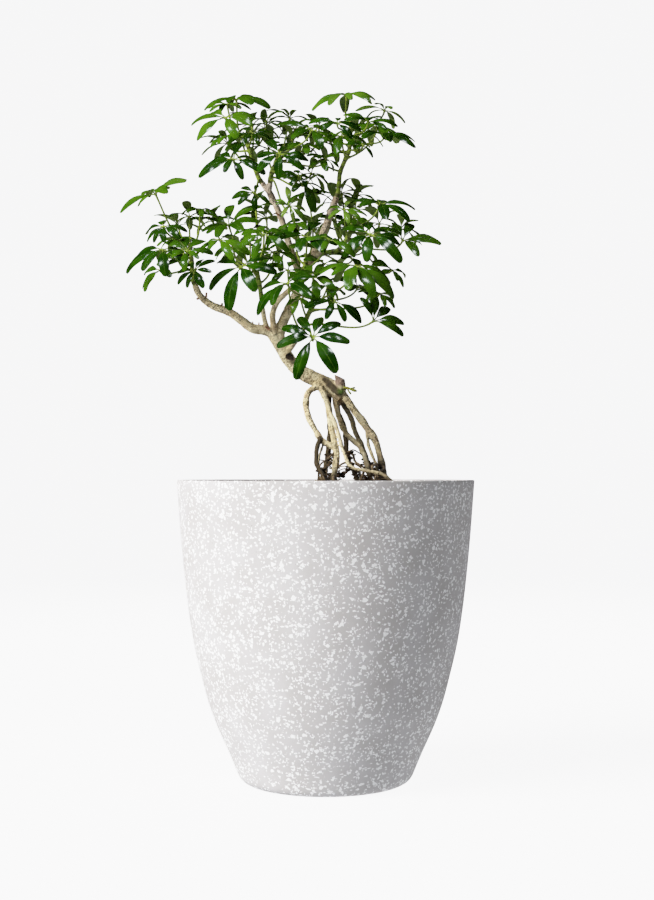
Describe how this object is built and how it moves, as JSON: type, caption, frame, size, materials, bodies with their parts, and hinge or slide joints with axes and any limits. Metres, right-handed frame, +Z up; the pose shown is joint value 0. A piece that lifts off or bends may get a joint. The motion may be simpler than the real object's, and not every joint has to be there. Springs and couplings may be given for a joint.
{
  "type": "potted umbrella plant",
  "caption": "Dwarf umbrella tree with raised roots and leaning trunk, standing in a tall round terrazzo-look planter filled with soil.",
  "frame": {"origin": "middle of the pot's underside, on the pot's axis", "axes": "+Z up along the pot's axis, -Y towards the plant's front, +X to the right seen from the front"},
  "size_m": [0.3925, 0.33, 0.7715],
  "materials": {
    "terrazzo": "matt, light grey with off-white chips",
    "soil": "dark crumbly potting soil",
    "bark": "pale grey-brown bark with fine speckles",
    "foliage": "glossy dark green leaflets, paler stalks and undersides"
  },
  "bodies": {
    "root": {"pot": "terrazzo", "soil": "soil", "trunk": "bark", "leafy_stem_top_left": "foliage", "leafy_stem_top_middle": "foliage", "leafy_stem_top_right": "foliage", "leafy_stem_right": "foliage", "leafy_stem_front_low": "foliage", "leafy_stem_centre": "foliage", "leafy_stem_centre_left": "foliage", "leafy_stem_left": "foliage", "leafy_stem_back": "foliage"}
  },
  "joints": []
}
